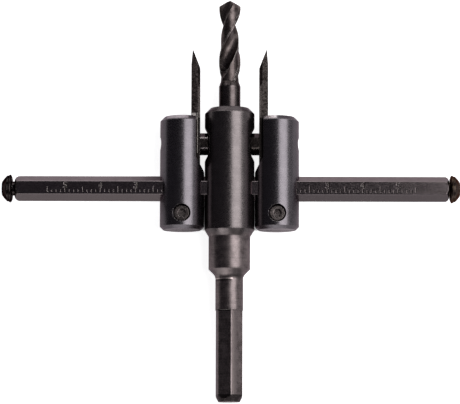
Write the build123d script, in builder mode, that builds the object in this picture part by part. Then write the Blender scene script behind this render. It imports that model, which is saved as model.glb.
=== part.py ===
from build123d import *
from math import acos, asin, atan, cos, degrees, pi, radians, sin, sqrt, tan
import os

# An adjustable circle cutter, lying on its back. X runs along the cross bar and Y along the
# tool axis, with the drill tip at +Y. The bar's graduated face and the clamp screws face up.
# A "rise" is a height along the tool axis above the bar's axis, a "drop" is one below it, and
# a "reach" is a distance from the tool axis along the bar.

# Spindle body, all lengths in millimetres
body_dia = 18.0
body_rise = 29.3
body_drop = 15.0
body_top_chamfer = 2.0
shoulder_length = 2.4
neck_dia = 15.0
neck_length = 11.8
shank_dia = 10.0
shank_fillet = 2.5
shank_round_length = 12.3
shank_hex_flats = 9.0
shank_hex_corners = 10.1
shank_hex_length = 32.9
shank_hex_turn = 9.0
shank_end_dia = 7.7
shank_end_taper = 2.9
head_pocket_dia = 12.4
head_pocket_clearance = 0.1
head_pocket_rise = 16.0

# Hexagonal cross bar, sitting a little off centre in the spindle as it was clamped
bar_flats = 8.0
bar_corner_radius = 0.4
bar_length = 156.8
bar_shift = 0.8
bar_left_chamfer = 1.9
bar_right_chamfer = 1.3
bar_clearance = 0.05

# Button-head stop screws in the bar's ends
stop_head_dia = 10.2
stop_head_length = 3.8
stop_rim_from_seat = 1.0
stop_seat_dia = 6.4
stop_face_dia = 5.1
stop_dome_bevels = 3
stop_stem_dia = 5.1
stop_stem_length = 12.0
stop_socket_flats = 4.0
stop_socket_depth = 2.2
stop_left_gap = 0.8
stop_right_gap = 0.3

# Round tool slides
slider_dia = 16.0
slider_rise = 26.1
slider_drop = 15.0
slider_body_gap = 0.15
slider_top_chamfer = 1.6
slider_bottom_chamfer = 1.2
slider_bar_clearance = 0.1
slider_flat_depth = 3.0
flat_runout_rise = 5.9
flat_runout_angle = 30.0
slit_width = 1.3

# Flat cutting blades, one in a slot in the inner side of each slide
blade_thickness = 3.2
blade_width = 7.0
blade_length = 41.2
blade_bottom_rise = 9.5
blade_seat_offset = 3.25
blade_tip_inset = 0.5
blade_tip_relief = 5.6
blade_bevel_angle = 21.5
blade_side_bevel = 1.1
blade_side_bevel_rise = 36.8
blade_side_bevel_slant = 45.0
blade_side_clearance = 0.06
blade_floor_clearance = 0.05
blade_drop_travel = 1.8
blade_rise_travel = 3.0
blade_end_clearance = 0.2

# Hex-head blade bolts
bolt_rise = 16.3
bolt_dia = 4.0
bolt_length = 10.0
bolt_head_flats = 7.0
bolt_head_height = 3.25
bolt_head_crown = 0.4
bolt_seat_gap = 0.05
bolt_relief_dia = 5.0
bolt_relief_depth = 4.5

# Slide clamp screws, sunk in the front of each slide below the bar
clamp_drop = 9.4
clamp_head_dia = 5.7
clamp_head_height = 3.0
clamp_socket_flats = 2.9
clamp_socket_depth = 1.6
clamp_counterbore_dia = 6.4
clamp_seat_height = 3.6
clamp_stem_dia = 3.0
clamp_stem_length = 10.4

# Pilot drill, right-hand twist
drill_dia = 7.8
drill_land_relief = 0.65
drill_web = 1.5
drill_flute_radius = 3.35
drill_rise = 69.3
drill_point_angle = 118.0
drill_pitch = 40.6
drill_turn = 27.0
drill_margin_angle = 10.0
drill_margin_lead = 4.0
drill_flute_rise = 43.2
drill_runout_length = 4.8
drill_runout_cut = 0.05
drill_relief_rise = 39.2
drill_relief_runout = 1.8
drill_shank_gap = 1.0
drill_shank_chamfer = 0.6
drill_bore_clearance = 0.05
drill_bore_rise = 6.5
drill_bore_chamfer = 0.5

# Set screws in the back of the spindle, one on the drill and one on the bar
drill_screw_dia = 5.0
drill_screw_rise = 21.5
drill_screw_socket_flats = 2.5
bar_screw_dia = 6.0
bar_screw_socket_flats = 3.0
set_screw_recess = 0.7
set_screw_socket_depth = 2.2

thread_clearance = 0.05
edge_break = 0.3
overshoot = 1.0

body_radius = body_dia / 2
neck_radius = neck_dia / 2
shank_radius = shank_dia / 2
shank_blank_radius = shank_hex_corners / 2 + edge_break
slider_radius = slider_dia / 2
drill_radius = drill_dia / 2
drill_land_radius = drill_radius - drill_land_relief
neck_drop = body_drop + shoulder_length + neck_length
shank_top_drop = neck_drop + neck_radius - shank_radius
shank_hex_drop = shank_top_drop + shank_round_length
shank_drop = shank_hex_drop + shank_hex_length
slider_reach = body_radius + slider_body_gap + slider_radius
slider_flat_reach = slider_reach - slider_radius + slider_flat_depth
blade_outer_reach = slider_reach - blade_seat_offset
blade_inner_reach = blade_outer_reach - blade_thickness
blade_top_rise = blade_bottom_rise + blade_length
bolt_seat_reach = blade_inner_reach - bolt_seat_gap
head_pocket_reach = bolt_seat_reach - bolt_head_height - head_pocket_clearance
bar_left = bar_shift - bar_length / 2
bar_right = bar_shift + bar_length / 2
bar_corner_reach = bar_flats / sqrt(3)
bar_y = (shank_drop - drill_rise) / 2
axis_z = body_radius


def at(reach, rise, height=0.0):
    """A point by its reach, its rise and its height above the tool axis."""
    return (reach, bar_y + rise, axis_z + height)


def front(reach=0.0):
    """The front view's plane through an upright axis: X across and Y along the tool."""
    return Plane(origin=at(reach, 0), x_dir=(1, 0, 0), z_dir=(0, 0, 1))


def across(rise, reach=0.0):
    """A plane square to the tool axis, facing the drill tip."""
    return Plane(origin=at(reach, rise), x_dir=(1, 0, 0), z_dir=(0, 1, 0))


def along_bar(reach, rise=0.0, facing=1):
    """A plane square to the bar, with its own X along the tool axis."""
    return Plane(origin=at(reach, rise), x_dir=(0, 1, 0), z_dir=(facing, 0, 0))


def facing_back(rise, height=0.0, reach=0.0):
    """A plane that faces the floor the tool lies on."""
    return Plane(origin=at(reach, rise, height), x_dir=(1, 0, 0), z_dir=(0, 0, -1))


def facing_front(rise, height=0.0, reach=0.0):
    return Plane(origin=at(reach, rise, height), x_dir=(1, 0, 0), z_dir=(0, 0, 1))


def upright_axis(reach=0.0):
    return Axis(at(reach, 0), (0, 1, 0))


bar_axis = Axis(at(0, 0), (1, 0, 0))

os.makedirs("parts", exist_ok=True)

# Spindle: body, neck and shank turned in one piece, then bored and drilled
with BuildPart() as spindle_body:
    with BuildSketch(front()) as turned_profile:
        with BuildLine():
            Polyline(
                (0, body_rise),
                (body_radius - body_top_chamfer, body_rise),
                (body_radius, body_rise - body_top_chamfer),
                (body_radius, -body_drop),
                (neck_radius, -body_drop - shoulder_length),
                (neck_radius, -neck_drop),
                (shank_radius, -shank_top_drop),
                (shank_radius, -shank_hex_drop),
                (shank_blank_radius, -shank_hex_drop),
                (shank_blank_radius, -shank_drop + shank_end_taper),
                (shank_end_dia / 2, -shank_drop),
                (0, -shank_drop),
                close=True,
            )
        make_face()
        shank_root = turned_profile.vertices().sort_by_distance((shank_radius, -shank_top_drop))[0]
        fillet(shank_root, shank_fillet)
    revolve(axis=upright_axis())
    # Six flats on the shank for a chuck, turned so that one corner faces up, and then the
    # narrow flats that break the corners
    for flats, rotation in ((shank_hex_flats, 30), (shank_hex_corners, 0)):
        with BuildSketch(across(-shank_drop)):
            Circle(shank_blank_radius + overshoot)
            RegularPolygon(
                flats / 2,
                6,
                major_radius=False,
                rotation=rotation + shank_hex_turn,
                mode=Mode.SUBTRACT,
            )
        extrude(amount=shank_hex_length, mode=Mode.SUBTRACT)
    # Cross hole for the bar
    with BuildSketch(along_bar(0)):
        RegularPolygon(bar_flats / 2 + bar_clearance, 6, major_radius=False)
    extrude(amount=body_dia, both=True, mode=Mode.SUBTRACT)
    # Bore for the pilot drill, with a chamfered mouth
    with BuildSketch(across(drill_bore_rise)):
        Circle(drill_radius + drill_bore_clearance)
    extrude(amount=body_rise, mode=Mode.SUBTRACT)
    bore_mouth = spindle_body.edges().filter_by(GeomType.CIRCLE).group_by(Axis.Y)[-1]
    chamfer(bore_mouth.sort_by(SortBy.RADIUS)[0], drill_bore_chamfer)
    # Pockets in both sides that take the blade bolts' heads when the slides are close in
    for hand in (-1, 1):
        with BuildSketch(along_bar(hand * head_pocket_reach, head_pocket_rise, hand)):
            Circle(head_pocket_dia / 2)
        extrude(amount=body_radius, mode=Mode.SUBTRACT)
    # Tapped holes in the back for the two set screws
    with BuildSketch(facing_back(drill_screw_rise)):
        Circle(drill_screw_dia / 2 + thread_clearance)
    extrude(amount=body_dia, mode=Mode.SUBTRACT)
    with BuildSketch(facing_back(0)):
        Circle(bar_screw_dia / 2 + thread_clearance)
    extrude(amount=body_dia, mode=Mode.SUBTRACT)

spindle_body.part.label = "spindle_body"
export_step(spindle_body.part, "parts/spindle_body.step")

# Cross bar: hexagonal stock with rounded corners, turned at both ends and tapped
with BuildPart() as hex_bar:
    with BuildSketch(along_bar(bar_left)) as bar_section:
        RegularPolygon(bar_flats / 2, 6, major_radius=False)
        fillet(bar_section.vertices(), bar_corner_radius)
    extrude(amount=bar_length)
    # The turned envelope that takes the corners off towards both ends
    with BuildSketch(front()):
        with BuildLine():
            Polyline(
                (bar_left, 0),
                (bar_left, bar_corner_reach - bar_left_chamfer),
                (bar_left + bar_left_chamfer, bar_corner_reach),
                (bar_right - bar_right_chamfer, bar_corner_reach),
                (bar_right, bar_corner_reach - bar_right_chamfer),
                (bar_right, 0),
                close=True,
            )
        make_face()
    revolve(axis=bar_axis, mode=Mode.INTERSECT)
    for end, inward in ((bar_left, 1), (bar_right, -1)):
        with BuildSketch(along_bar(end, 0, inward)):
            Circle(stop_stem_dia / 2 + thread_clearance)
        extrude(amount=stop_stem_length, mode=Mode.SUBTRACT)

hex_bar.part.label = "hex_bar"
export_step(hex_bar.part, "parts/hex_bar.step")

# Pilot drill: plain shank, then two flutes and relieved lands that twist round the web
flute_centre = drill_flute_radius + drill_web / 2
flute_centre_angle = degrees(
    acos(
        (drill_radius**2 + flute_centre**2 - drill_flute_radius**2)
        / (2 * drill_radius * flute_centre)
    )
)
drill_bottom_rise = drill_bore_rise + drill_shank_gap
point_slope = tan(radians(drill_point_angle / 2))
wide_radius = drill_radius + overshoot


def lip_angle(rise):
    """The turn of the cutting lips' corners about the tool axis at a given rise."""
    return drill_turn - 360 * (drill_rise - rise) / drill_pitch


# The section of a narrow margin, rooted in the relieved core. It leads its lip's corner a
# little, and the flute then cuts it back to an edge there.
with BuildSketch() as margin:
    with BuildLine():
        margin_turn = drill_margin_angle + drill_margin_lead
        root_radius = drill_land_radius - overshoot
        root_arc = CenterArc((0, 0), root_radius, -drill_margin_angle, margin_turn)
        rim_arc = CenterArc((0, 0), wide_radius, -drill_margin_angle, margin_turn)
        Line(root_arc @ 0, rim_arc @ 0)
        Line(root_arc @ 1, rim_arc @ 1)
    make_face()


def twist(start, end, mode=Mode.ADD):
    """Sweeps the open sketch up the tool axis between two rises, turning with the lips."""
    core = Line(at(0, start), at(0, end), mode=Mode.PRIVATE)
    helix = Helix(
        drill_pitch,
        end - start,
        drill_radius,
        center=at(0, start),
        direction=(0, 1, 0),
        mode=Mode.PRIVATE,
    )
    sweep(path=core, binormal=helix, mode=mode)


with BuildPart() as pilot_drill:
    with BuildSketch(across(drill_relief_rise)):
        with PolarLocations(0, 2, start_angle=lip_angle(drill_relief_rise)):
            add(margin.sketch)
    twist(drill_relief_rise, drill_rise)
    with BuildSketch(across(drill_relief_rise)):
        Circle(drill_land_radius)
    extrude(amount=drill_rise - drill_relief_rise)
    # Ground to the drill's diameter and to the cone of the point
    with BuildSketch(front()):
        with BuildLine():
            Polyline(
                (0, drill_rise),
                (drill_radius, drill_rise - drill_radius / point_slope),
                (drill_radius, drill_relief_rise - overshoot),
                (0, drill_relief_rise - overshoot),
                close=True,
            )
        make_face()
    revolve(axis=upright_axis(), mode=Mode.INTERSECT)
    # Plain shank
    with BuildSketch(front()):
        with BuildLine():
            Polyline(
                (0, drill_bottom_rise),
                (drill_radius - drill_shank_chamfer, drill_bottom_rise),
                (drill_radius, drill_bottom_rise + drill_shank_chamfer),
                (drill_radius, drill_relief_rise - drill_relief_runout),
                (drill_land_radius, drill_relief_rise),
                (0, drill_relief_rise),
                close=True,
            )
        make_face()
    revolve(axis=upright_axis())
    # Flutes on both sides of the web
    with BuildSketch(across(drill_flute_rise)):
        flute_angle = lip_angle(drill_flute_rise) + flute_centre_angle
        with PolarLocations(flute_centre, 2, start_angle=flute_angle):
            Circle(drill_flute_radius)
    twist(drill_flute_rise, drill_rise, mode=Mode.SUBTRACT)
    # Each flute runs out up a straight slope away from the web, in line with its twist
    flute_slant = atan(2 * pi * flute_centre / drill_pitch)
    runout_radius = drill_flute_radius * cos(flute_slant)
    runout_track = drill_runout_length / cos(flute_slant)
    runout_slope = atan((drill_radius - drill_web / 2) / runout_track)
    for turn in (0, 180):
        angle = radians(flute_angle + turn)
        outward = Vector(cos(angle), 0, -sin(angle))
        round_axis = Vector(-sin(angle), 0, -cos(angle))
        downhill = Vector(0, -cos(flute_slant), 0) - round_axis * sin(flute_slant)
        away = downhill * cos(runout_slope) + outward * sin(runout_slope)
        upward = outward * cos(runout_slope) - downhill * sin(runout_slope)
        flute_floor = Vector(*at(0, drill_flute_rise)) + outward * (
            drill_web / 2 - drill_runout_cut
        )
        cutter_centre = flute_floor + upward * runout_radius
        with BuildSketch(Plane(origin=cutter_centre, x_dir=upward, z_dir=away)):
            Circle(runout_radius)
            Rectangle(drill_dia, 2 * runout_radius, align=(Align.MIN, Align.CENTER))
        extrude(amount=2 * runout_track, mode=Mode.SUBTRACT)

pilot_drill.part.label = "pilot_drill"
export_step(pilot_drill.part, "parts/pilot_drill.step")

# Set screws with a hex socket
set_screws = (
    ("drill_set_screw", drill_screw_rise, drill_screw_dia, drill_screw_socket_flats, drill_radius),
    ("bar_set_screw", 0, bar_screw_dia, bar_screw_socket_flats, bar_flats / 2),
)
for name, rise, diameter, socket_flats, work_radius in set_screws:
    point = work_radius + thread_clearance
    head = body_radius - set_screw_recess
    with BuildPart() as set_screw:
        with BuildSketch(facing_back(rise, -point)):
            Circle(diameter / 2)
        extrude(amount=head - point)
        rims = set_screw.edges().filter_by(GeomType.CIRCLE).sort_by(Axis.Z)
        chamfer(rims[0], edge_break)
        with BuildSketch(facing_back(rise, -head)):
            RegularPolygon(socket_flats / 2, 6, major_radius=False)
        extrude(amount=-set_screw_socket_depth, mode=Mode.SUBTRACT)
    set_screw.part.label = name
    export_step(set_screw.part, f"parts/{name}.step")

# The stop screws' domes, turned as a few bevels along an arc that starts square to the rim
dome_length = stop_head_length - stop_rim_from_seat
dome_fall = (stop_head_dia - stop_face_dia) / 2
dome_radius = (dome_length**2 + dome_fall**2) / (2 * dome_fall)
dome_turn = asin(dome_length / dome_radius) / stop_dome_bevels

# Everything that the tool has once on its left and once on its right
sides = (
    ("left", -1, -bar_left, stop_left_gap),
    ("right", 1, bar_right, stop_right_gap),
)
for side, hand, bar_end, stop_gap in sides:
    # Tool slide: a round block, cut flat and slotted on its inner side for the blade
    slide_axis = hand * slider_reach
    with BuildPart() as slider:
        with BuildSketch(front(slide_axis)):
            with BuildLine():
                Polyline(
                    (0, slider_rise),
                    (slider_radius - slider_top_chamfer, slider_rise),
                    (slider_radius, slider_rise - slider_top_chamfer),
                    (slider_radius, -slider_drop + slider_bottom_chamfer),
                    (slider_radius - slider_bottom_chamfer, -slider_drop),
                    (0, -slider_drop),
                    close=True,
                )
            make_face()
        revolve(axis=upright_axis(slide_axis))
        # The flat leaves the round along a slope above the bar
        runout_height = (slider_flat_depth + overshoot) / tan(radians(flat_runout_angle))
        outside_reach = slider_flat_reach - slider_flat_depth - overshoot
        slope_foot = flat_runout_rise - overshoot / tan(radians(flat_runout_angle))
        with BuildSketch(front()):
            with BuildLine():
                Polyline(
                    (hand * outside_reach, slope_foot),
                    (hand * slider_flat_reach, slope_foot + runout_height),
                    (hand * slider_flat_reach, slider_rise + overshoot),
                    (hand * outside_reach, slider_rise + overshoot),
                    close=True,
                )
            make_face()
        extrude(amount=slider_radius, both=True, mode=Mode.SUBTRACT)
        # Blade slot, open at the top
        slot_floor_reach = blade_outer_reach + blade_floor_clearance
        slot_bottom_rise = blade_bottom_rise - blade_drop_travel - blade_end_clearance
        with BuildSketch(along_bar(hand * slot_floor_reach, slot_bottom_rise, -hand)):
            Rectangle(
                slider_rise - slot_bottom_rise + overshoot,
                blade_width + 2 * blade_side_clearance,
                align=(Align.MIN, Align.CENTER),
            )
        extrude(amount=slider_radius, mode=Mode.SUBTRACT)
        # Hexagonal cross hole for the bar
        with BuildSketch(along_bar(slide_axis)):
            RegularPolygon(bar_flats / 2 + slider_bar_clearance, 6, major_radius=False)
        extrude(amount=slider_dia, both=True, mode=Mode.SUBTRACT)
        # Tapped cross hole for the blade bolt, relieved from the outer side
        with BuildSketch(along_bar(slide_axis, bolt_rise)):
            Circle(bolt_dia / 2 + thread_clearance)
        extrude(amount=slider_dia, both=True, mode=Mode.SUBTRACT)
        relief_reach = slider_reach + slider_radius - bolt_relief_depth
        with BuildSketch(along_bar(hand * relief_reach, bolt_rise, hand)):
            Circle(bolt_relief_dia / 2)
        extrude(amount=slider_radius, mode=Mode.SUBTRACT)
        # Saw slit from the bar's hole down, so that the clamp screw can pinch the bar
        with BuildSketch(across(-slider_drop, slide_axis)):
            Rectangle(slider_dia + overshoot, slit_width)
        extrude(amount=slider_drop, mode=Mode.SUBTRACT)
        # Counterbored cross hole for the clamp screw
        with BuildSketch(facing_front(-clamp_drop, clamp_seat_height, slide_axis)):
            Circle(clamp_counterbore_dia / 2)
        extrude(amount=slider_radius, mode=Mode.SUBTRACT)
        with BuildSketch(facing_front(-clamp_drop, 0, slide_axis)):
            Circle(clamp_stem_dia / 2 + thread_clearance)
        extrude(amount=slider_dia, both=True, mode=Mode.SUBTRACT)
    slider.part.label = f"{side}_slider"
    export_step(slider.part, f"parts/{side}_slider.step")

    # Clamp screw: socket cap head and stem
    with BuildPart() as clamp_screw:
        seat = clamp_seat_height + bolt_seat_gap
        with BuildSketch(facing_front(-clamp_drop, seat, slide_axis)):
            Circle(clamp_head_dia / 2)
        extrude(amount=clamp_head_height)
        chamfer(clamp_screw.faces().sort_by(Axis.Z)[-1].edges(), edge_break)
        with BuildSketch(facing_front(-clamp_drop, seat, slide_axis)):
            Circle(clamp_stem_dia / 2)
        extrude(amount=-clamp_stem_length)
        with BuildSketch(facing_front(-clamp_drop, seat + clamp_head_height, slide_axis)):
            RegularPolygon(clamp_socket_flats / 2, 6, major_radius=False)
        extrude(amount=-clamp_socket_depth, mode=Mode.SUBTRACT)
    clamp_screw.part.label = f"{side}_clamp_screw"
    export_step(clamp_screw.part, f"parts/{side}_clamp_screw.step")

    # Blade: flat bar ground to a single cutting point, bevelled inside and relieved outside
    bevel_height = (blade_thickness - blade_tip_inset) / tan(radians(blade_bevel_angle))
    with BuildPart() as blade:
        with BuildSketch(front()):
            with BuildLine():
                Polyline(
                    (hand * blade_inner_reach, blade_bottom_rise),
                    (hand * blade_outer_reach, blade_bottom_rise),
                    (hand * blade_outer_reach, blade_top_rise - blade_tip_relief),
                    (hand * (blade_outer_reach - blade_tip_inset), blade_top_rise),
                    (hand * blade_inner_reach, blade_top_rise - bevel_height),
                    close=True,
                )
            make_face()
        extrude(amount=blade_width / 2, both=True)
        # Both inner corners are ground away above a slanting line, as clearance in the cut
        slant = radians(blade_side_bevel_slant)
        slanted = Plane(
            origin=at(hand * blade_inner_reach, blade_side_bevel_rise),
            x_dir=(hand * cos(slant), sin(slant), 0),
            z_dir=(-hand * sin(slant), cos(slant), 0),
        )
        stretch = 1 / cos(slant)
        for face in (-1, 1):
            near = blade_width / 2 - blade_side_bevel - overshoot
            far = blade_width / 2 + overshoot
            with BuildSketch(slanted):
                with BuildLine():
                    Polyline(
                        ((blade_side_bevel + overshoot) * stretch, face * far),
                        (-overshoot * stretch, face * near),
                        (-overshoot * stretch, face * far),
                        close=True,
                    )
                make_face()
            extrude(amount=blade_length, dir=(0, 1, 0), mode=Mode.SUBTRACT)
        # Long hole for the bolt
        with BuildSketch(
            along_bar(hand * blade_inner_reach, bolt_rise - blade_rise_travel, hand)
        ):
            hole_radius = bolt_dia / 2 + blade_end_clearance
            travel = blade_rise_travel + blade_drop_travel
            with Locations((travel / 2, 0)):
                SlotCenterToCenter(travel, 2 * hole_radius)
        extrude(amount=blade_thickness, mode=Mode.SUBTRACT)
    blade.part.label = f"{side}_blade"
    export_step(blade.part, f"parts/{side}_blade.step")

    # Blade bolt: bevelled hex head on the blade's inner face and a stem through the slide
    with BuildPart() as blade_bolt:
        with BuildSketch(along_bar(hand * bolt_seat_reach, bolt_rise, -hand)):
            RegularPolygon(bolt_head_flats / 2, 6, major_radius=False)
        extrude(amount=bolt_head_height)
        with BuildSketch(front()):
            corner_radius = bolt_head_flats / sqrt(3)
            crown_slope = tan(radians(30))
            crown_radius = bolt_head_flats / 2 - bolt_head_crown
            rim_reach = bolt_seat_reach - bolt_head_height
            crown_depth = (corner_radius - crown_radius) * crown_slope
            with BuildLine():
                Polyline(
                    (hand * bolt_seat_reach, bolt_rise),
                    (hand * bolt_seat_reach, bolt_rise + corner_radius),
                    (hand * (rim_reach + crown_depth), bolt_rise + corner_radius),
                    (hand * rim_reach, bolt_rise + crown_radius),
                    (hand * rim_reach, bolt_rise),
                    close=True,
                )
            make_face()
        revolve(axis=Axis(at(0, bolt_rise), (1, 0, 0)), mode=Mode.INTERSECT)
        with BuildSketch(along_bar(hand * bolt_seat_reach, bolt_rise, hand)):
            Circle(bolt_dia / 2)
        extrude(amount=bolt_length)
    blade_bolt.part.label = f"{side}_blade_bolt"
    export_step(blade_bolt.part, f"parts/{side}_blade_bolt.step")

    # Stop screw: button head with a hex socket, its stem in the bar's end
    seat = bar_end + stop_gap
    with BuildPart() as stop_screw:
        with BuildSketch(front()):
            with BuildLine():
                stem_end = seat - stop_stem_length
                face_reach = seat + stop_head_length
                rim_reach = seat + stop_rim_from_seat
                dome = [
                    (
                        hand * (rim_reach + dome_radius * sin(dome_turn * step)),
                        stop_head_dia / 2 - dome_radius * (1 - cos(dome_turn * step)),
                    )
                    for step in range(stop_dome_bevels + 1)
                ]
                Polyline(
                    (hand * face_reach, 0),
                    (hand * stem_end, 0),
                    (hand * stem_end, stop_stem_dia / 2),
                    (hand * seat, stop_stem_dia / 2),
                    (hand * seat, stop_seat_dia / 2),
                    *dome,
                    close=True,
                )
            make_face()
        revolve(axis=bar_axis)
        with BuildSketch(along_bar(hand * face_reach, 0, -hand)):
            RegularPolygon(stop_socket_flats / 2, 6, major_radius=False)
        extrude(amount=stop_socket_depth, mode=Mode.SUBTRACT)
    stop_screw.part.label = f"{side}_stop_screw"
    export_step(stop_screw.part, f"parts/{side}_stop_screw.step")
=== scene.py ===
from collections import namedtuple
import math

import bmesh
import bpy
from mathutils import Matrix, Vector


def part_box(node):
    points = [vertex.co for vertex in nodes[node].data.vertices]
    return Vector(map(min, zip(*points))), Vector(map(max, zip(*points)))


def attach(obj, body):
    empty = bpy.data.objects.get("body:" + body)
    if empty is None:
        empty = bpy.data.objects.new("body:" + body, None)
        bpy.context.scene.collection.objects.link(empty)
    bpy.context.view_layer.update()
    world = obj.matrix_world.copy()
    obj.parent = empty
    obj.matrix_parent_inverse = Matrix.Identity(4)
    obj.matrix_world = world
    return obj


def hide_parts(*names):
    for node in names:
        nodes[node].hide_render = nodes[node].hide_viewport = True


# The looks of an adjustable circle cutter that lies on its back. X runs along the cross bar and
# Y along the tool axis towards the drill tip. Lengths are in metres, and MM makes one a millimetre.
MM = 0.001
X_AXIS, Y_AXIS = 0, 1

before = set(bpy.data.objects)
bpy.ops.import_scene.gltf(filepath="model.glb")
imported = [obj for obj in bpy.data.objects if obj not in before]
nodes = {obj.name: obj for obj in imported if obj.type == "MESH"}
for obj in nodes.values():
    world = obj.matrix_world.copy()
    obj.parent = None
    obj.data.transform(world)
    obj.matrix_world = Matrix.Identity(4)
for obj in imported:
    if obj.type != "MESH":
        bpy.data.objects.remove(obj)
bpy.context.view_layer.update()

# The bar's two ends, its middle, its axis and its front flat
bar_low, bar_high = (Vector(corner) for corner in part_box("hex_bar"))
BAR_MIDDLE = (bar_low.x + bar_high.x) / 2
BAR_Y = (bar_low.y + bar_high.y) / 2
AXIS_Z = (bar_low.z + bar_high.z) / 2
FRONT_FLAT_Z = bar_high.z


def colour(red, green, blue):
    return (red, green, blue, 1.0)


def span(low, high):
    """A range, given in millimetres."""
    return (low * MM, high * MM)


class Surface:
    """A procedural material and short ways to add its nodes."""

    def __init__(self, name):
        self.material = bpy.data.materials.new(name)
        self.material.use_nodes = True
        self.tree = self.material.node_tree
        self.shader = self.tree.nodes["Principled BSDF"]
        self.place = self.add("ShaderNodeTexCoord").outputs["Object"]

    def add(self, kind, **settings):
        node = self.tree.nodes.new(kind)
        for key, value in settings.items():
            setattr(node, key, value)
        return node

    def feed(self, socket, value):
        """Links a socket to another node's output, or sets it to a plain value."""
        if isinstance(value, bpy.types.NodeSocket):
            self.tree.links.new(value, socket)
        else:
            socket.default_value = value

    def noise(self, size, detail=3.0, stretch=(1.0, 1.0, 1.0)):
        """Noise whose blotches are about one size across, longer along a stretched axis."""
        mapping = self.add("ShaderNodeMapping")
        self.feed(mapping.inputs["Vector"], self.place)
        mapping.inputs["Scale"].default_value = [1.0 / (size * s) for s in stretch]
        noise = self.add("ShaderNodeTexNoise")
        self.feed(noise.inputs["Vector"], mapping.outputs["Vector"])
        noise.inputs["Scale"].default_value = 1.0
        noise.inputs["Detail"].default_value = detail
        return noise.outputs["Fac"]

    def math(self, operation, *values):
        node = self.add("ShaderNodeMath", operation=operation)
        for socket, value in zip(node.inputs, values):
            self.feed(socket, value)
        return node.outputs["Value"]

    def weigh(self, first, share, second, other_share):
        """Adds two values, each times its share."""
        return self.math(
            "ADD",
            self.math("MULTIPLY", first, share),
            self.math("MULTIPLY", second, other_share),
        )

    def between(self, value, low, high, start=0.0, end=1.0):
        """Maps low..high of a value smoothly onto start..end."""
        node = self.add("ShaderNodeMapRange", interpolation_type="SMOOTHSTEP")
        for key, item in (
            ("Value", value),
            ("From Min", low),
            ("From Max", high),
            ("To Min", start),
            ("To Max", end),
        ):
            self.feed(node.inputs[key], item)
        return node.outputs["Result"]

    def confine(self, value, places, ranges, border):
        """Keeps a value where each place lies in its range, and fades it out over the border."""
        for place, (low, high) in zip(places, ranges):
            value = self.math("MULTIPLY", value, self.between(place, low - border, low + border))
            value = self.math("MULTIPLY", value, self.between(place, high + border, high - border))
        return value

    def mix(self, factor, first, second):
        """Mixes two colours."""
        node = self.add("ShaderNodeMix", data_type="RGBA")
        sockets = [s for s in node.inputs if s.enabled]
        self.feed(sockets[0], factor)
        for socket, shade in zip(sockets[-2:], (first, second)):
            self.feed(socket, shade)
        return [s for s in node.outputs if s.enabled][0]

    def axes(self):
        """The three coordinates of a surface point."""
        node = self.add("ShaderNodeSeparateXYZ")
        self.feed(node.inputs["Vector"], self.place)
        return node.outputs["X"], node.outputs["Y"], node.outputs["Z"]


# Steels
BARE_STEEL = colour(0.62, 0.57, 0.55)

# How much clouds, grain and tool marks count in the shade, and where it is darkest and lightest
CLOUD_SHARE = 0.55
GRAIN_SHARE = 0.45
PLAIN_SHARE = 0.75
MARK_SHARE = 0.25
DARK_LIMIT = 0.36
LIGHT_LIMIT = 0.64

# Tool marks: their pitch along the axis, and how much longer they run round it
MARK_PITCH = 0.16 * MM
MARK_STRETCH = 60.0

# How much the grain and the tool marks each count in the bumps of turned steel
TURNED_HEIGHT = 0.6
BUMP_STRENGTH = 0.35

# Ranges of noise over which patches and rubbed edges break up and the roughness changes
PATCH_RANGE = (0.15, 0.5)
RUB_RANGE = (0.35, 0.62)
ROUGH_RANGE = (0.3, 0.7)
ROUGH_SPREAD = (-0.05, 0.07)

# Rubbed edges: the size of their bare spots, and the share of the full lean at which they begin
RUB_SIZE = 1.1 * MM
WEAR_ONSET = 1 / 8

# A finish that takes over between two places on an axis
Change = namedtuple("Change", "axis start end dark light roughness")

# An area of another shade, with a soft border
Patch = namedtuple("Patch", "x_range y_range shade border")


def tool_marks(surface, axis):
    """Fine rings round an axis."""
    stretch = [MARK_STRETCH] * 3
    stretch[axis] = 1.0
    return surface.noise(MARK_PITCH, detail=2.0, stretch=stretch)


def rubbed(surface, rounded, wear, wear_limit):
    """How bare each point is: patchily, where the rounded normal leans away from the flat one."""
    geometry = surface.add("ShaderNodeNewGeometry")
    dot = surface.add("ShaderNodeVectorMath", operation="DOT_PRODUCT")
    surface.feed(dot.inputs[0], rounded)
    surface.feed(dot.inputs[1], geometry.outputs["Normal"])
    away = surface.math("SUBTRACT", 1.0, dot.outputs["Value"])
    patchy = surface.between(surface.noise(RUB_SIZE, detail=3.0), *RUB_RANGE)
    edge = surface.between(away, wear_limit * WEAR_ONSET, wear_limit)
    return surface.math("MULTIPLY", surface.math("MULTIPLY", edge, patchy), wear)


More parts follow.
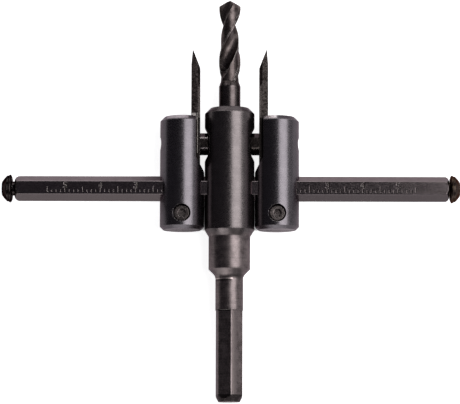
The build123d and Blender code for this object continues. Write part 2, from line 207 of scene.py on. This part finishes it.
def blackened_steel(
    name,
    dark,
    light,
    roughness=0.27,
    turned=None,
    mottle=2.6 * MM,
    grain=0.35 * MM,
    grain_height=0.004 * MM,
    edge_radius=0.18 * MM,
    wear=0.6,
    wear_colour=BARE_STEEL,
    wear_roughness=0.22,
    wear_limit=0.16,
    grazing_tint=colour(0.85, 0.75, 0.80),
    change=None,
    patches=(),
):
    """Black-oxide steel: mottled from dark to light, finely grained, with rounded edges that are
    rubbed bare. turned is the axis that tool marks run round, or None for drawn and ground stock.
    wear_limit is one less the cosine of the lean at which an edge is as bare as it gets."""
    surface = Surface(name)
    shader = surface.shader
    shader.inputs["Metallic"].default_value = 1.0
    shader.inputs["Specular Tint"].default_value = grazing_tint
    places = surface.axes()
    if change is not None:
        along = places[change.axis]
        dark = surface.mix(surface.between(along, change.start, change.end), dark, change.dark)
        light = surface.mix(surface.between(along, change.start, change.end), light, change.light)
        roughness = surface.between(along, change.start, change.end, roughness, change.roughness)

    clouds = surface.noise(mottle, detail=4.0)
    speck = surface.noise(grain, detail=2.0)
    shade = surface.weigh(clouds, CLOUD_SHARE, speck, GRAIN_SHARE)
    height = speck
    if turned is not None:
        marks = tool_marks(surface, turned)
        shade = surface.weigh(shade, PLAIN_SHARE, marks, MARK_SHARE)
        height = surface.weigh(speck, TURNED_HEIGHT, marks, TURNED_HEIGHT)
    base = surface.mix(surface.between(shade, DARK_LIMIT, LIGHT_LIMIT), dark, light)
    # Patches: areas of another base colour fixed on the part, mostly painted highlights and painted
    # shade
    for patch in patches:
        cover = surface.between(speck, *PATCH_RANGE)
        cover = surface.confine(cover, places, (patch.x_range, patch.y_range), patch.border)
        base = surface.mix(cover, base, patch.shade)

    bevel = surface.add("ShaderNodeBevel", samples=6)
    bevel.inputs["Radius"].default_value = edge_radius
    rounded = bevel.outputs["Normal"]
    worn = rubbed(surface, rounded, wear, wear_limit)
    surface.feed(shader.inputs["Base Color"], surface.mix(worn, base, wear_colour))

    rough = surface.math("ADD", roughness, surface.between(speck, *ROUGH_RANGE, *ROUGH_SPREAD))
    rough = surface.math("ADD", rough, surface.math("MULTIPLY", worn, wear_roughness))
    surface.feed(shader.inputs["Roughness"], rough)

    bump = surface.add("ShaderNodeBump")
    bump.inputs["Strength"].default_value = BUMP_STRENGTH
    bump.inputs["Distance"].default_value = grain_height
    surface.feed(bump.inputs["Height"], height)
    surface.feed(bump.inputs["Normal"], rounded)
    surface.feed(shader.inputs["Normal"], bump.outputs["Normal"])
    return surface


def dress(piece, surface):
    """Gives a piece one material in all its slots."""
    if not piece.material_slots:
        piece.data.materials.append(surface.material)
    for slot in piece.material_slots:
        slot.material = surface.material


# The spindle's smooth body changes at its shoulder into the duller neck and shank
spindle_steel = blackened_steel(
    "spindle_steel",
    dark=colour(0.086, 0.075, 0.076),
    light=colour(0.117, 0.102, 0.103),
    turned=Y_AXIS,
    roughness=0.29,
    change=Change(
        axis=Y_AXIS,
        start=-12.0 * MM,
        end=-13.2 * MM,
        dark=colour(0.077, 0.064, 0.064),
        light=colour(0.191, 0.159, 0.159),
        roughness=0.37,
    ),
    edge_radius=0.28 * MM,
    wear=0.3,
    patches=(
        # A painted highlight: a bright strip and a dimmer one on the shank's flat to the right of its
        # ridge
        Patch(span(1.05, 1.95), span(-70.6, -40.5), colour(0.25, 0.21, 0.205), 0.25 * MM),
        Patch(span(1.95, 2.6), span(-70.6, -40.5), colour(0.18, 0.15, 0.15), 0.4 * MM),
        # The shoulder under the body, with a painted highlight to the left and painted shade to the
        # right
        Patch(span(-4.6, -0.4), span(-13.7, -11.3), colour(0.20, 0.172, 0.172), 0.6 * MM),
        Patch(span(0.6, 4.6), span(-13.7, -11.3), colour(0.052, 0.044, 0.044), 1.0 * MM),
        # The slope from the neck to the shank, with a painted highlight to the left and painted shade
        # to the right
        Patch(span(-4.6, -0.6), span(-28.6, -25.4), colour(0.20, 0.17, 0.168), 0.7 * MM),
        Patch(span(0.6, 4.6), span(-28.6, -25.2), colour(0.052, 0.044, 0.044), 1.1 * MM),
        # Painted shade: a dark line where the shank's flats begin
        Patch(span(-4.6, 0.6), span(-40.6, -39.9), colour(0.025, 0.021, 0.021), 0.15 * MM),
        # A painted highlight and painted shade: a bright ring and a dark one at the slope's foot
        Patch(span(-6.5, 1.2), span(-29.1, -28.75), colour(0.524, 0.447, 0.431), 0.06 * MM),
        Patch(span(-6.5, 0.8), span(-29.8, -29.3), colour(0.046, 0.039, 0.039), 0.1 * MM),
        # Painted shade: the dark taper at the shank's end
        Patch(span(-6.5, 6.5), span(-72.85, -70.4), colour(0.031, 0.026, 0.026), 0.1 * MM),
    ),
)
slider_steel = blackened_steel(
    "slider_steel",
    dark=colour(0.089, 0.081, 0.089),
    light=colour(0.111, 0.101, 0.110),
    roughness=0.28,
    turned=Y_AXIS,
    grain_height=0.002 * MM,
    patches=(
        # A painted highlight: a lighter stretch of the chamfer at the left slide's top
        Patch(span(-22.5, -14.8), span(28.7, 31.0), colour(0.37, 0.33, 0.35), 0.2 * MM),
        # The chamfer at the right slide's top: a painted highlight to the left and painted shade to
        # the right
        Patch(span(12.4, 16.9), span(28.7, 31.0), colour(0.70, 0.655, 0.66), 0.4 * MM),
        Patch(span(17.6, 26.0), span(28.7, 31.0), colour(0.050, 0.045, 0.050), 0.4 * MM),
    ),
)
# The bar darkens slowly from its middle to its right end
bar_steel = blackened_steel(
    "bar_steel",
    dark=colour(0.151, 0.128, 0.131),
    light=colour(0.196, 0.165, 0.171),
    roughness=0.14,
    change=Change(
        axis=X_AXIS,
        start=-10.0 * MM,
        end=80.0 * MM,
        dark=colour(0.129, 0.109, 0.109),
        light=colour(0.166, 0.140, 0.142),
        roughness=0.14,
    ),
    patches=(
        # Painted shade on the flat below the front one, on the left half and on the darker right half
        Patch(span(-90.0, 0.0), span(-2.0, 1.65), colour(0.124, 0.105, 0.107), 0.1 * MM),
        Patch(span(0.0, 90.0), span(-2.0, 1.65), colour(0.092, 0.078, 0.081), 0.1 * MM),
    ),
)
left_blade_steel = blackened_steel(
    "left_blade_steel",
    dark=colour(0.015, 0.012, 0.011),
    light=colour(0.080, 0.065, 0.062),
    roughness=0.30,
    mottle=1.0 * MM,
    grain=0.3 * MM,
    edge_radius=0.12 * MM,
    wear=0.35,
    patches=(
        # A painted highlight: the lighter bevel on the blade's inner side
        Patch(span(-11.55, -10.0), span(0.0, 40.6), colour(0.162, 0.139, 0.131), 0.08 * MM),
        # Painted shade: the dark stretch in the slide's slot
        Patch(span(-15.0, -10.0), span(0.0, 29.4), colour(0.018, 0.015, 0.014), 0.2 * MM),
        # A painted highlight along the bevel's edge
        Patch(span(-11.72, -11.48), span(16.5, 31.2), colour(0.400, 0.370, 0.339), 0.05 * MM),
        # A bright spot at the slide's chamfer
        Patch(span(-13.7, -12.1), span(28.6, 31.0), colour(0.647, 0.601, 0.570), 0.35 * MM),
    ),
)
right_blade_steel = blackened_steel(
    "right_blade_steel",
    dark=colour(0.028, 0.023, 0.021),
    light=colour(0.126, 0.108, 0.101),
    roughness=0.30,
    mottle=1.0 * MM,
    grain=0.3 * MM,
    edge_radius=0.12 * MM,
    wear=0.35,
    patches=(
        # A painted highlight: the lighter bevel on the blade's inner side
        Patch(span(10.0, 11.35), span(0.0, 47.0), colour(0.146, 0.126, 0.120), 0.08 * MM),
        # Painted shade: the dark stretch in the slide's slot
        Patch(span(10.0, 15.0), span(0.0, 29.4), colour(0.018, 0.015, 0.014), 0.2 * MM),
    ),
)
# The drill is duller from where its flutes begin
drill_steel = blackened_steel(
    "drill_steel",
    dark=colour(0.059, 0.048, 0.048),
    light=colour(0.102, 0.086, 0.086),
    roughness=0.29,
    edge_radius=0.25 * MM,
    wear=0.8,
    wear_limit=0.04,
    change=Change(
        axis=Y_AXIS,
        start=41.2 * MM,
        end=42.4 * MM,
        dark=colour(0.038, 0.030, 0.029),
        light=colour(0.122, 0.100, 0.097),
        roughness=0.38,
    ),
)
clamp_steel = blackened_steel(
    "clamp_steel",
    dark=colour(0.068, 0.057, 0.055),
    light=colour(0.146, 0.126, 0.122),
    roughness=0.28,
    edge_radius=0.2 * MM,
    wear=0.7,
)
# The blade bolts' heads have painted highlights on the ridges beside their front flat
BOLT_DARK = colour(0.025, 0.020, 0.018)
BOLT_LIGHT = colour(0.059, 0.049, 0.046)
left_bolt_steel = blackened_steel(
    "left_bolt_steel",
    dark=BOLT_DARK,
    light=BOLT_LIGHT,
    roughness=0.20,
    wear=0.3,
    patches=(
        # Painted highlights on the ridges above and below the head's front flat
        Patch(span(-10.7, -7.9), span(21.6, 22.3), colour(0.739, 0.662, 0.647), 0.15 * MM),
        Patch(span(-10.5, -8.0), span(17.4, 18.5), colour(0.493, 0.431, 0.424), 0.15 * MM),
    ),
)
right_bolt_steel = blackened_steel(
    "right_bolt_steel",
    dark=BOLT_DARK,
    light=BOLT_LIGHT,
    roughness=0.20,
    wear=0.2,
    # A dimmer painted highlight on the ridge below the head's front flat
    patches=(Patch(span(7.8, 10.6), span(17.4, 18.5), colour(0.231, 0.193, 0.177), 0.15 * MM),),
)
left_stop_steel = blackened_steel(
    "left_stop_steel",
    dark=colour(0.015, 0.013, 0.013),
    light=colour(0.034, 0.028, 0.028),
    roughness=0.22,
    wear=0.4,
    grazing_tint=colour(0.35, 0.30, 0.31),
)
right_stop_steel = blackened_steel(
    "right_stop_steel",
    dark=colour(0.025, 0.018, 0.015),
    light=colour(0.055, 0.042, 0.037),
    roughness=0.26,
    wear=0.5,
    grazing_tint=colour(0.5, 0.40, 0.38),
    wear_colour=colour(0.693, 0.508, 0.277),
)
left_mark = blackened_steel(
    "left_scale_mark",
    dark=colour(0.040, 0.035, 0.032),
    light=colour(0.072, 0.064, 0.059),
    roughness=0.45,
    wear=0.0,
)
# Painted shade: a darker steel for the right half's marks, apart from their sides that face right
shaded_mark = blackened_steel(
    "shaded_scale_mark",
    dark=colour(0.015, 0.013, 0.012),
    light=colour(0.034, 0.028, 0.026),
    roughness=0.30,
    wear=0.0,
)

for name, surface in (
    ("spindle_body", spindle_steel),
    ("left_slider", slider_steel),
    ("right_slider", slider_steel),
    ("left_blade", left_blade_steel),
    ("right_blade", right_blade_steel),
    ("pilot_drill", drill_steel),
    ("left_blade_bolt", left_bolt_steel),
    ("right_blade_bolt", right_bolt_steel),
    ("left_clamp_screw", clamp_steel),
    ("right_clamp_screw", clamp_steel),
    ("drill_set_screw", clamp_steel),
    ("bar_set_screw", clamp_steel),
):
    dress(nodes[name], surface)

# Meshes
MERGE_DISTANCE = 0.0005 * MM


def new_piece(name, shape):
    """Makes an object of a bmesh."""
    mesh = bpy.data.meshes.new(name)
    shape.to_mesh(mesh)
    shape.free()
    piece = bpy.data.objects.new(name, mesh)
    bpy.context.scene.collection.objects.link(piece)
    return piece


def skin(shape, loops):
    """Joins each loop of points to the next with faces, and merges the points that coincide."""
    for first, second in zip(loops, loops[1:]):
        for step in range(len(first)):
            after = (step + 1) % len(first)
            shape.faces.new((first[step], first[after], second[after], second[step]))
    bmesh.ops.remove_doubles(shape, verts=shape.verts, dist=MERGE_DISTANCE)


# Stop screws: button heads with a bead round the rim and a hex socket
RING = 96
STEM_LENGTH = 12.0 * MM
STEM_RADIUS = 2.55 * MM
SEAT_RADIUS = 3.3 * MM
RIM_REACH = 0.9 * MM
RIM_RADIUS = 5.1 * MM
RIM_STEPS = 5
GROOVE_REACH = 1.45 * MM
GROOVE_RADIUS = 4.68 * MM
CROWN_REACH = 1.75 * MM
CROWN_RADIUS = 4.74 * MM
WAVE_STEPS = 3
CROWN_POWER = 1.18
CROWN_STEPS = 8
HEAD_LENGTH = 3.8 * MM
MOUTH_RADIUS = 2.3 * MM
SOCKET_FLATS = 4.0 * MM
SOCKET_DEPTH = 2.2 * MM
SOCKET_CHAMFER = 0.1 * MM
SHARP_ANGLE = math.radians(40)


def head_profile():
    """The screw's outline from the stem's end to the socket's mouth, as (reach, radius). A reach is
    a distance out from the seat. The crown's curve is fuller than a cone and flatter than a ball."""
    points = [(-STEM_LENGTH, 0.0), (-STEM_LENGTH, STEM_RADIUS), (0.0, STEM_RADIUS)]
    for step in range(RIM_STEPS + 1):
        turn = math.pi / 2 * step / RIM_STEPS
        radius = SEAT_RADIUS + (RIM_RADIUS - SEAT_RADIUS) * math.sin(turn)
        points.append((RIM_REACH * (1 - math.cos(turn)), radius))
    for start, end, first, last in (
        (RIM_REACH, GROOVE_REACH, RIM_RADIUS, GROOVE_RADIUS),
        (GROOVE_REACH, CROWN_REACH, GROOVE_RADIUS, CROWN_RADIUS),
    ):
        for step in range(1, WAVE_STEPS + 1):
            share = step / WAVE_STEPS
            wave = (1 - math.cos(math.pi * share)) / 2
            points.append((start + (end - start) * share, first + (last - first) * wave))
    for step in range(1, CROWN_STEPS + 1):
        turn = math.pi / 2 * step / CROWN_STEPS
        outward = math.sin(turn) ** (2 / CROWN_POWER)
        sideways = math.cos(turn) ** (2 / CROWN_POWER)
        reach = CROWN_REACH + (HEAD_LENGTH - CROWN_REACH) * outward
        points.append((reach, MOUTH_RADIUS + (CROWN_RADIUS - MOUTH_RADIUS) * sideways))
    return points


def socket_outline():
    """The hexagonal socket, as the radius of each point of a ring."""
    radii = []
    for step in range(RING):
        angle = 2 * math.pi * step / RING
        from_flat = (angle + math.pi / 6) % (math.pi / 3) - math.pi / 6
        radii.append(SOCKET_FLATS / 2 / math.cos(from_flat))
    return radii


def lathe(shape, rings, hand):
    """Adds a closed turned form round the bar's axis. Each ring is its reach along the bar, and
    the radius of each of its points."""
    loops = []
    for reach, radii in rings:
        loop = []
        for step, radius in enumerate(radii):
            angle = 2 * math.pi * step / len(radii)
            place = (
                hand * reach,
                BAR_Y + radius * math.cos(angle),
                AXIS_Z + radius * math.sin(angle),
            )
            loop.append(shape.verts.new(place))
        loops.append(loop)
    skin(shape, loops)
    bmesh.ops.recalc_face_normals(shape, faces=shape.faces)


def stop_screw(name, hand, face):
    """A button-head screw round the bar's axis. face is how far out its end lies."""
    seat = face - HEAD_LENGTH
    rings = [(seat + reach, [radius] * RING) for reach, radius in head_profile()]
    rings.append((face - SOCKET_CHAMFER, socket_outline()))
    rings.append((face - SOCKET_DEPTH, socket_outline()))
    rings.append((face - SOCKET_DEPTH, [0.0] * RING))
    shape = bmesh.new()
    lathe(shape, rings, hand)
    piece = new_piece(name, shape)
    piece.data.shade_smooth()
    piece.data.set_sharp_from_angle(angle=SHARP_ANGLE)
    return piece


left_stop = stop_screw("left_stop_button", -1, -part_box("left_stop_screw")[0][0])
right_stop = stop_screw("right_stop_button", 1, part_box("right_stop_screw")[1][0])
for piece, node, surface in (
    (left_stop, "left_stop_screw", left_stop_steel),
    (right_stop, "right_stop_screw", right_stop_steel),
):
    dress(piece, surface)
    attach(piece, "spindle")
    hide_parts(node)

# Graduated bar: hexagonal stock with rounded ends and bores for the stop screws
BAR_FLATS = 8.0 * MM
FLAT_ANGLES = [side * math.pi / 3 + math.pi / 2 for side in range(6)]
FLAT_STEPS = 4
CORNER_RADIUS = 0.4 * MM
BORE_RADIUS = 2.6 * MM
BORE_DEPTH = 12.5 * MM
LEFT_ROUNDING = 2.1 * MM
LEFT_FACE_RADIUS = 2.75 * MM
RIGHT_ROUNDING = 1.6 * MM
RIGHT_FACE_RADIUS = 3.1 * MM
ROUNDING_STEPS = 8
LEVEL_ANGLE = math.radians(0.05)


def hexagon_outline():
    """Points round the stock's section: each flat, then the arc of its corner."""
    points = []
    half_flat = (BAR_FLATS / 2 - CORNER_RADIUS) * math.tan(math.pi / 6)
    corner = (BAR_FLATS / 2 - CORNER_RADIUS) / math.cos(math.pi / 6)
    for facing in FLAT_ANGLES:
        for step in range(-FLAT_STEPS, FLAT_STEPS + 1):
            along = step / FLAT_STEPS * half_flat
            points.append(
                (
                    BAR_FLATS / 2 * math.cos(facing) - along * math.sin(facing),
                    BAR_FLATS / 2 * math.sin(facing) + along * math.cos(facing),
                )
            )
        middle = facing + math.pi / 6
        for step in (1, 2, 3):
            turn = facing + step * math.pi / 12
            points.append(
                (
                    corner * math.cos(middle) + CORNER_RADIUS * math.cos(turn),
                    corner * math.sin(middle) + CORNER_RADIUS * math.sin(turn),
                )
            )
    return points


def end_rings(end, inwards, rounding, face_radius):
    """Rings from the bottom of an end's bore out over the rounded end, as (x, largest radius,
    whether the ring is a circle)."""
    rings = [
        (end + inwards * BORE_DEPTH, 0.0, True),
        (end + inwards * BORE_DEPTH, BORE_RADIUS, True),
        (end, BORE_RADIUS, True),
    ]
    reach = BAR_FLATS / math.sqrt(3)
    for step in range(ROUNDING_STEPS + 1):
        turn = math.pi / 2 * step / ROUNDING_STEPS
        along = rounding * (1 - math.cos(turn))
        radius = face_radius + (reach - face_radius) * math.sin(turn)
        rings.append((end + inwards * along, radius, False))
    return rings


def bar_stock():
    """The bar before its scale is cut."""
    shape = bmesh.new()
    outline = hexagon_outline()
    rings = end_rings(bar_low.x, 1, LEFT_ROUNDING, LEFT_FACE_RADIUS)
    rings += reversed(end_rings(bar_high.x, -1, RIGHT_ROUNDING, RIGHT_FACE_RADIUS))
    loops = []
    for x, limit, circular in rings:
        loop = []
        for y, z in outline:
            radius = math.hypot(y, z)
            size = limit / radius if circular else min(1.0, limit / radius)
            loop.append(shape.verts.new((x, BAR_Y + y * size, AXIS_Z + z * size)))
        loops.append(loop)
    skin(shape, loops)
    bmesh.ops.dissolve_limit(shape, angle_limit=LEVEL_ANGLE, verts=shape.verts, edges=shape.edges)
    bmesh.ops.recalc_face_normals(shape, faces=shape.faces)
    return new_piece("graduated_bar", shape)


# Inch scale of hole diameters, cut into the bar's front flat with a tick at each eighth
INCH_MARK = 12.7 * MM
SCALE_OFFSET = 3.6 * MM
SCALE_FOOT = -1.65 * MM
FIRST_EIGHTH = 14
LAST_EIGHTH = 44
TICK_WIDTH = 0.32 * MM
TICK_BOTTOM_WIDTH = TICK_WIDTH * 0.24
TICK_TOP_WIDTH = TICK_WIDTH * 1.76
TICK_DEPTH = 0.13 * MM
TICK_SHORT = 0.85 * MM
TICK_INCH = 1.3 * MM
TICK_HALF = 2.0 * MM
NUMBERS = (2, 3, 4, 5)
DIGIT_FOOT = -0.17 * MM
DIGIT_DEPTH = 0.12 * MM
DIGIT_HEIGHT = 2.2 * MM
DIGIT_WIDTH = 1.5 * MM


def tick_cutter(shape, centre, height):
    """Adds a wedge that cuts one tick. It is narrow at the tick's bottom, and reaches as far above
    the front flat as below it."""
    low, high = BAR_Y + SCALE_FOOT, BAR_Y + SCALE_FOOT + height
    corners = []
    for width, z in ((TICK_BOTTOM_WIDTH, -TICK_DEPTH), (TICK_TOP_WIDTH, TICK_DEPTH)):
        for x, y in ((-1, low), (1, low), (1, high), (-1, high)):
            corners.append(shape.verts.new((centre + x * width / 2, y, FRONT_FLAT_Z + z)))
    for face in ((3, 2, 1, 0), (4, 5, 6, 7), (0, 1, 5, 4), (1, 2, 6, 5), (2, 3, 7, 6), (3, 0, 4, 7)):
        shape.faces.new([corners[i] for i in face])


def digit_cutter(shape, digit, centre):
    """Adds a solid digit that reaches as far above the front flat as below it."""
    curve = bpy.data.curves.new("digit", "FONT")
    curve.body = str(digit)
    curve.extrude = 0.5
    text = bpy.data.objects.new("digit", curve)
    mesh = bpy.data.meshes.new_from_object(text)
    xs = [v.co.x for v in mesh.vertices]
    ys = [v.co.y for v in mesh.vertices]
    foot = BAR_Y + DIGIT_FOOT
    for vertex in mesh.vertices:
        vertex.co.x = centre + ((vertex.co.x - min(xs)) / (max(xs) - min(xs)) - 0.5) * DIGIT_WIDTH
        vertex.co.y = foot + (vertex.co.y - min(ys)) / (max(ys) - min(ys)) * DIGIT_HEIGHT
        vertex.co.z = FRONT_FLAT_Z + vertex.co.z * 2 * DIGIT_DEPTH
    shape.from_mesh(mesh)
    bpy.data.objects.remove(text)
    bpy.data.curves.remove(curve)
    bpy.data.meshes.remove(mesh)


def scale_cutter():
    """The ticks and numbers of the scale on both halves of the bar. A diameter's mark lies half as
    far from the bar's middle, less the offset."""
    shape = bmesh.new()
    for hand in (-1, 1):
        for eighth in range(FIRST_EIGHTH, LAST_EIGHTH + 1):
            reach = eighth / 8 * INCH_MARK - SCALE_OFFSET
            height = TICK_SHORT
            if eighth % 4 == 0:
                height = TICK_INCH if eighth % 8 == 0 else TICK_HALF
            tick_cutter(shape, BAR_MIDDLE + hand * reach, height)
        for number in NUMBERS:
            reach = number * INCH_MARK - SCALE_OFFSET
            digit_cutter(shape, number, BAR_MIDDLE + hand * reach)
    bmesh.ops.remove_doubles(shape, verts=shape.verts, dist=MERGE_DISTANCE)
    bmesh.ops.recalc_face_normals(shape, faces=shape.faces)
    return new_piece("scale_cutter", shape)


def cut_with(piece, cutter):
    """Cuts a form out of a piece, and removes the cutter."""
    cut = piece.modifiers.new("scale", "BOOLEAN")
    cut.operation = "DIFFERENCE"
    cut.solver = "EXACT"
    cut.use_self = True
    cut.object = cutter
    bpy.context.view_layer.update()
    depsgraph = bpy.context.evaluated_depsgraph_get()
    cut_mesh = bpy.data.meshes.new_from_object(piece.evaluated_get(depsgraph))
    piece.modifiers.clear()
    piece.data = cut_mesh
    bpy.data.objects.remove(cutter)


# Faces of the bar: those of the marks are small and lie just below the front flat
LEFT_MARK_SLOT = 1
SHADED_MARK_SLOT = 2
MARK_AREA = 1.0 * MM * MM
MARK_SHALLOWEST = 0.005 * MM
MARK_DEEPEST = 0.3 * MM
MARK_REACH = 2.07 * MM
MARK_SIDE_LEAN = 0.5
END_LIMIT = 0.999
FLAT_LIMIT = 0.99995


def is_mark(face):
    """Whether a face of the bar belongs to a tick or a digit."""
    below = FRONT_FLAT_Z - face.center.z
    sunk = MARK_SHALLOWEST < below < MARK_DEEPEST
    return face.area < MARK_AREA and sunk and abs(face.center.y - BAR_Y) < MARK_REACH


def finish_faces(piece):
    """Gives the marks their own steels, and shades all but the marks, flats and ends smooth. On the
    right half, only the marks' sides that face right have the left half's steel; the rest have a
    darker one, painted shade."""
    flats = [Vector((0, math.cos(angle), math.sin(angle))) for angle in FLAT_ANGLES]
    for face in piece.data.polygons:
        if is_mark(face):
            # Marks on the left half and sides that face right stay lighter; the others get painted
            # shade
            lighter = face.center.x < BAR_MIDDLE or face.normal.x > MARK_SIDE_LEAN
            face.material_index = LEFT_MARK_SLOT if lighter else SHADED_MARK_SLOT
            face.use_smooth = False
            continue
        is_end = abs(face.normal.x) > END_LIMIT
        is_flat = any(face.normal.dot(flat) > FLAT_LIMIT for flat in flats)
        face.use_smooth = not (is_end or is_flat)


bar = bar_stock()
cut_with(bar, scale_cutter())
dress(bar, bar_steel)
bar.data.materials.append(left_mark.material)
bar.data.materials.append(shaded_mark.material)
finish_faces(bar)
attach(bar, "spindle")
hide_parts("hex_bar")

# Floor: pale, white in view and in reflections, with the tool's soft shadow
FLOOR_REACH = 4.0
FLOOR_GREY = 0.8
FLOOR_ROUGHNESS = 0.9
VIEW_GLOW = 0.85
MIRROR_GLOW = 0.15

# Floor that the tool closes in, as ranges of the distance from the tool axis and along it: between
# the body and a slide below the bar, and under the pocket of a bolt's head
SHADOWED_FLOOR = (
    (span(4.4, 13.6), span(-10.3, 0.6)),
    (span(1.9, 7.7), span(16.7, 25.7)),
)
COVER_BORDER = 0.1 * MM
COVER_DISTANCE = 14.0 * MM
OPEN_SKY = 0.36
CLOSED_SKY = 0.24


def floor_glow(surface):
    """The floor's own light: for the view and for reflections alone, and none where the tool closes
    the floor in, which paints a shadow there."""
    rays = surface.add("ShaderNodeLightPath")
    mirrored = surface.math("ADD", rays.outputs["Is Glossy Ray"], rays.outputs["Is Transmission Ray"])
    glow = surface.weigh(rays.outputs["Is Camera Ray"], VIEW_GLOW, mirrored, MIRROR_GLOW)
    across, along, _ = surface.axes()
    across = surface.math("ABSOLUTE", across)
    sky = surface.add("ShaderNodeAmbientOcclusion", samples=8)
    sky.inputs["Distance"].default_value = COVER_DISTANCE
    closed_in = surface.between(sky.outputs["AO"], OPEN_SKY, CLOSED_SKY)
    # Painted shadow: the floor's glow is taken away in these areas where little sky is open
    for ranges in SHADOWED_FLOOR:
        dark = surface.confine(closed_in, (across, along), ranges, COVER_BORDER)
        glow = surface.math("MULTIPLY", glow, surface.math("SUBTRACT", 1.0, dark))
    return glow


floor_shape = bmesh.new()
bmesh.ops.create_grid(floor_shape, x_segments=1, y_segments=1, size=FLOOR_REACH)
floor = new_piece("floor", floor_shape)
floor_surface = Surface("floor")
floor_surface.shader.inputs["Base Color"].default_value = colour(FLOOR_GREY, FLOOR_GREY, FLOOR_GREY)
floor_surface.shader.inputs["Roughness"].default_value = FLOOR_ROUGHNESS
floor_surface.shader.inputs["Specular IOR Level"].default_value = 0.0
emission = floor_surface.add("ShaderNodeEmission")
floor_surface.feed(emission.inputs["Strength"], floor_glow(floor_surface))
both = floor_surface.add("ShaderNodeAddShader")
floor_surface.feed(both.inputs[0], floor_surface.shader.outputs["BSDF"])
floor_surface.feed(both.inputs[1], emission.outputs["Emission"])
output = floor_surface.tree.nodes["Material Output"]
floor_surface.feed(output.inputs["Surface"], both.outputs["Shader"])
dress(floor, floor_surface)


def softbox(name, towards, turn, distance, width, length, radiance):
    """A plain rectangular lamp. Its place is towards times distance from the tool's middle, and its
    width lies along X and its length along Y before the turn that makes it face the tool."""
    lamp = bpy.data.lights.new(name, "AREA")
    lamp.shape = "RECTANGLE"
    lamp.size = width
    lamp.size_y = length
    lamp.energy = math.pi * width * length * radiance
    holder = bpy.data.objects.new(name, lamp)
    bpy.context.scene.collection.objects.link(holder)
    holder.location = Vector((0.0, 0.0, AXIS_Z)) + Vector(towards) * distance
    holder.rotation_euler = turn


# Lamps: a key and a weak side lamp to the right, and one beyond each end of the tool
KEY_ANGLE = math.radians(33)
SIDE_ANGLE = math.radians(74)
CARD_ANGLE = math.radians(75)
LAMP_SHIFT = 0.1
softbox(
    "key",
    towards=(math.sin(KEY_ANGLE), LAMP_SHIFT, math.cos(KEY_ANGLE)),
    turn=(0.0, KEY_ANGLE, 0.0),
    distance=1.2,
    width=0.955,
    length=1.0,
    radiance=4.55,
)
softbox(
    "side",
    towards=(math.sin(SIDE_ANGLE), LAMP_SHIFT, math.cos(SIDE_ANGLE)),
    turn=(0.0, SIDE_ANGLE, 0.0),
    distance=0.9,
    width=0.50,
    length=1.2,
    radiance=0.45,
)
for name, hand, radiance in (("far_card", 1, 2.4), ("near_card", -1, 1.95)):
    softbox(
        name,
        towards=(0.0, hand * math.sin(CARD_ANGLE), math.cos(CARD_ANGLE)),
        turn=(-hand * CARD_ANGLE, 0.0, 0.0),
        distance=0.8,
        width=1.2,
        length=0.42,
        radiance=radiance,
    )

# Dim light from all round
ROOM_COLOUR = colour(0.057, 0.054, 0.064)
world = bpy.data.worlds.new("studio")
world.use_nodes = True
world.node_tree.nodes["Background"].inputs["Color"].default_value = ROOM_COLOUR
bpy.context.scene.world = world

# Camera: it looks down on the tool, a little from the shank's side
PITCH = math.radians(6.8)
ROLL = math.radians(0.14)
DISTANCE = 0.923
camera_data = bpy.data.cameras.new("camera")
camera_data.lens = 200.0
camera_data.sensor_width = 36.0
camera = bpy.data.objects.new("camera", camera_data)
bpy.context.scene.collection.objects.link(camera)
target = Vector((0.45, -0.93, 9.0)) * MM
camera.location = target + Vector((0, -math.sin(PITCH), math.cos(PITCH))) * DISTANCE
camera.rotation_euler = (PITCH, 0.0, ROLL)
bpy.context.scene.camera = camera
bpy.context.scene.view_settings.view_transform = "Standard"

bpy.context.view_layer.update()
